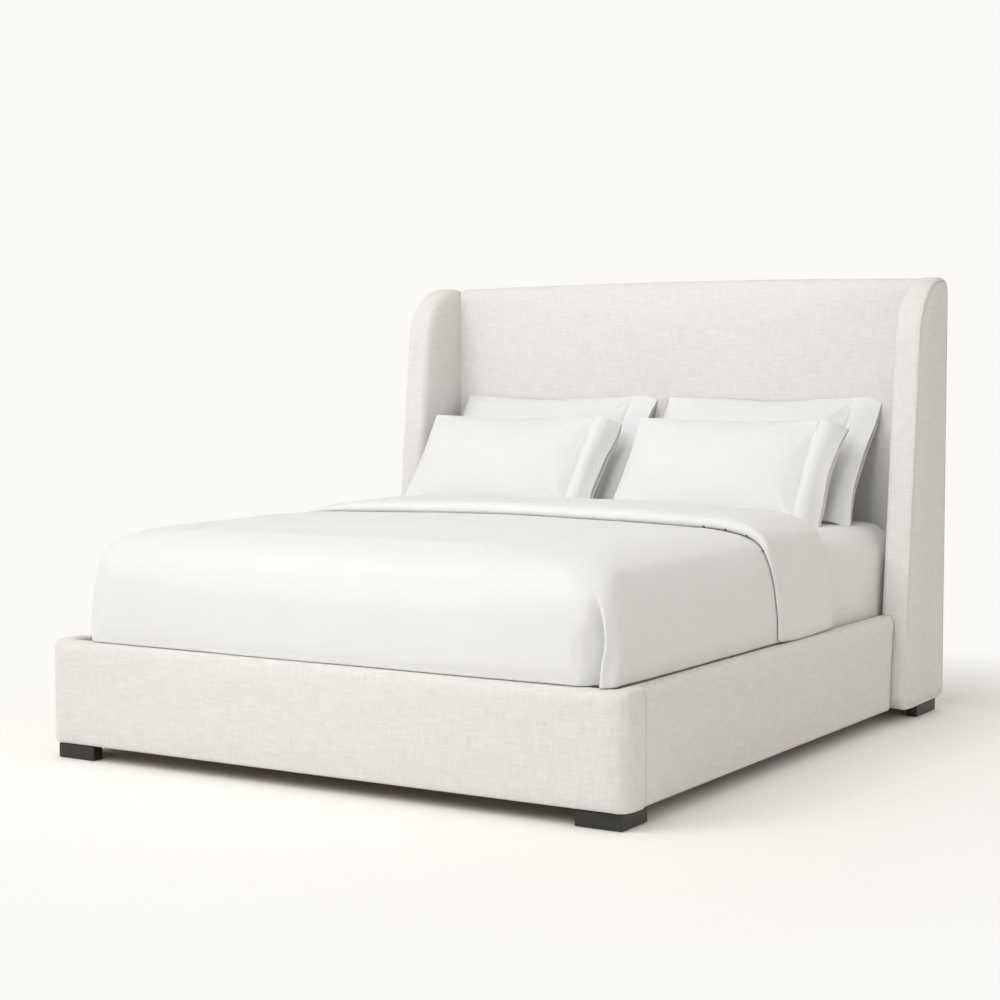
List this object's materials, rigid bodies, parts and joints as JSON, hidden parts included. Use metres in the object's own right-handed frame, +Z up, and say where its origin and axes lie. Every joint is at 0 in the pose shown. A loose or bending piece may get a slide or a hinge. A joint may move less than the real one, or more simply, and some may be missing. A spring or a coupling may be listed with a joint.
{
  "type": "upholstered bed",
  "caption": "Fabric-upholstered bed with a winged headboard, low padded rails, L-shaped block feet, slatted base, mattress, turned-back duvet and cuffed pillows.",
  "frame": {"origin": "on the floor under the middle of the bed, at the bottom centre of its bounding box", "axes": "+X to the right seen from the foot end, +Y from the foot end to the headboard, +Z up"},
  "size_m": [2.05, 2.275, 1.4968],
  "materials": {
    "upholstery_fabric": "matte",
    "bed_linen": "matte",
    "ticking": "matte",
    "filling": "matte",
    "foam": "matte",
    "back_cloth": "matte",
    "webbing": "matte",
    "felt": "matte",
    "timber": "matte",
    "plywood": "matte",
    "dark_wood": "satin",
    "black_steel": "satin",
    "steel_fasteners": "satin",
    "spring_steel": "matte",
    "nylon": "matte"
  },
  "bodies": {
    "bed_frame": {"beam_hangers": "black_steel", "centre_beam": "timber", "centre_legs": "timber", "floor_pads": "felt", "foot_screws": "steel_fasteners", "footboard_board": "timber", "footboard_corner_blocks": "timber", "footboard_cover": "upholstery_fabric", "footboard_foam": "foam", "front_corner_brackets": "black_steel", "hanger_screws": "steel_fasteners", "headboard_back_cloth": "back_cloth", "headboard_battens": "timber", "headboard_cover": "upholstery_fabric", "headboard_foam": "foam", "headboard_panel": "plywood", "ledge_screws": "steel_fasteners", "left_front_foot": "dark_wood", "left_rail_board": "timber", "left_rail_cover": "upholstery_fabric", "left_rail_foam": "foam", "left_rear_foot": "dark_wood", "left_slat_ledge": "timber", "left_wing_band": "upholstery_fabric", "left_wing_core": "plywood", "left_wing_cover": "upholstery_fabric", "left_wing_foam": "foam", "plate_bolts": "steel_fasteners", "rail_joining_plates": "black_steel", "right_front_foot": "dark_wood", "right_rail_board": "timber", "right_rail_cover": "upholstery_fabric", "right_rail_foam": "foam", "right_rear_foot": "dark_wood", "right_slat_ledge": "timber", "right_wing_band": "upholstery_fabric", "right_wing_core": "plywood", "right_wing_cover": "upholstery_fabric", "right_wing_foam": "foam", "slat_screws": "steel_fasteners", "slat_straps": "webbing", "slats": "plywood", "wing_bolts": "steel_fasteners"},
    "mattress": {"fitted_sheet": "bed_linen", "mattress_base_layer": "foam", "mattress_comfort_layer": "foam", "mattress_springs": "spring_steel", "mattress_ticking": "ticking"},
    "duvet": {"duvet": "bed_linen"},
    "back_left_pillow": {"pillow_case_back_left": "bed_linen", "pillow_filling_back_left": "filling"},
    "back_right_pillow": {"pillow_case_back_right": "bed_linen", "pillow_filling_back_right": "filling"},
    "front_left_pillow": {"pillow_case_front_left": "bed_linen", "pillow_filling_front_left": "filling"},
    "front_right_pillow": {"pillow_case_front_right": "bed_linen", "pillow_filling_front_right": "filling"},
    "foot_glide": {"levelling_glide_foot": "nylon"},
    "middle_glide": {"levelling_glide_middle": "nylon"},
    "head_glide": {"levelling_glide_head": "nylon"}
  },
  "joints": [
    {"name": "mattress_lift", "type": "slide", "parent": "bed_frame", "child": "mattress", "axis": [0, 0, 1], "range_m": [0, 0.6]},
    {"name": "duvet_lift", "type": "slide", "parent": "mattress", "child": "duvet", "axis": [0, 0, 1], "range_m": [0, 0.45]},
    {"name": "back_left_pillow_lift", "type": "slide", "parent": "mattress", "child": "back_left_pillow", "axis": [0, 0, 1], "range_m": [0, 0.6]},
    {"name": "back_right_pillow_lift", "type": "slide", "parent": "mattress", "child": "back_right_pillow", "axis": [0, 0, 1], "range_m": [0, 0.6]},
    {"name": "front_left_pillow_lift", "type": "slide", "parent": "back_left_pillow", "child": "front_left_pillow", "axis": [0, 0, 1], "range_m": [0, 0.45]},
    {"name": "front_right_pillow_lift", "type": "slide", "parent": "back_right_pillow", "child": "front_right_pillow", "axis": [0, 0, 1], "range_m": [0, 0.45]},
    {"name": "foot_glide_screw", "type": "slide", "parent": "bed_frame", "child": "foot_glide", "axis": [0, 0, 1], "range_m": [0, 0.01]},
    {"name": "middle_glide_screw", "type": "slide", "parent": "bed_frame", "child": "middle_glide", "axis": [0, 0, 1], "range_m": [0, 0.01]},
    {"name": "head_glide_screw", "type": "slide", "parent": "bed_frame", "child": "head_glide", "axis": [0, 0, 1], "range_m": [0, 0.01]}
  ]
}
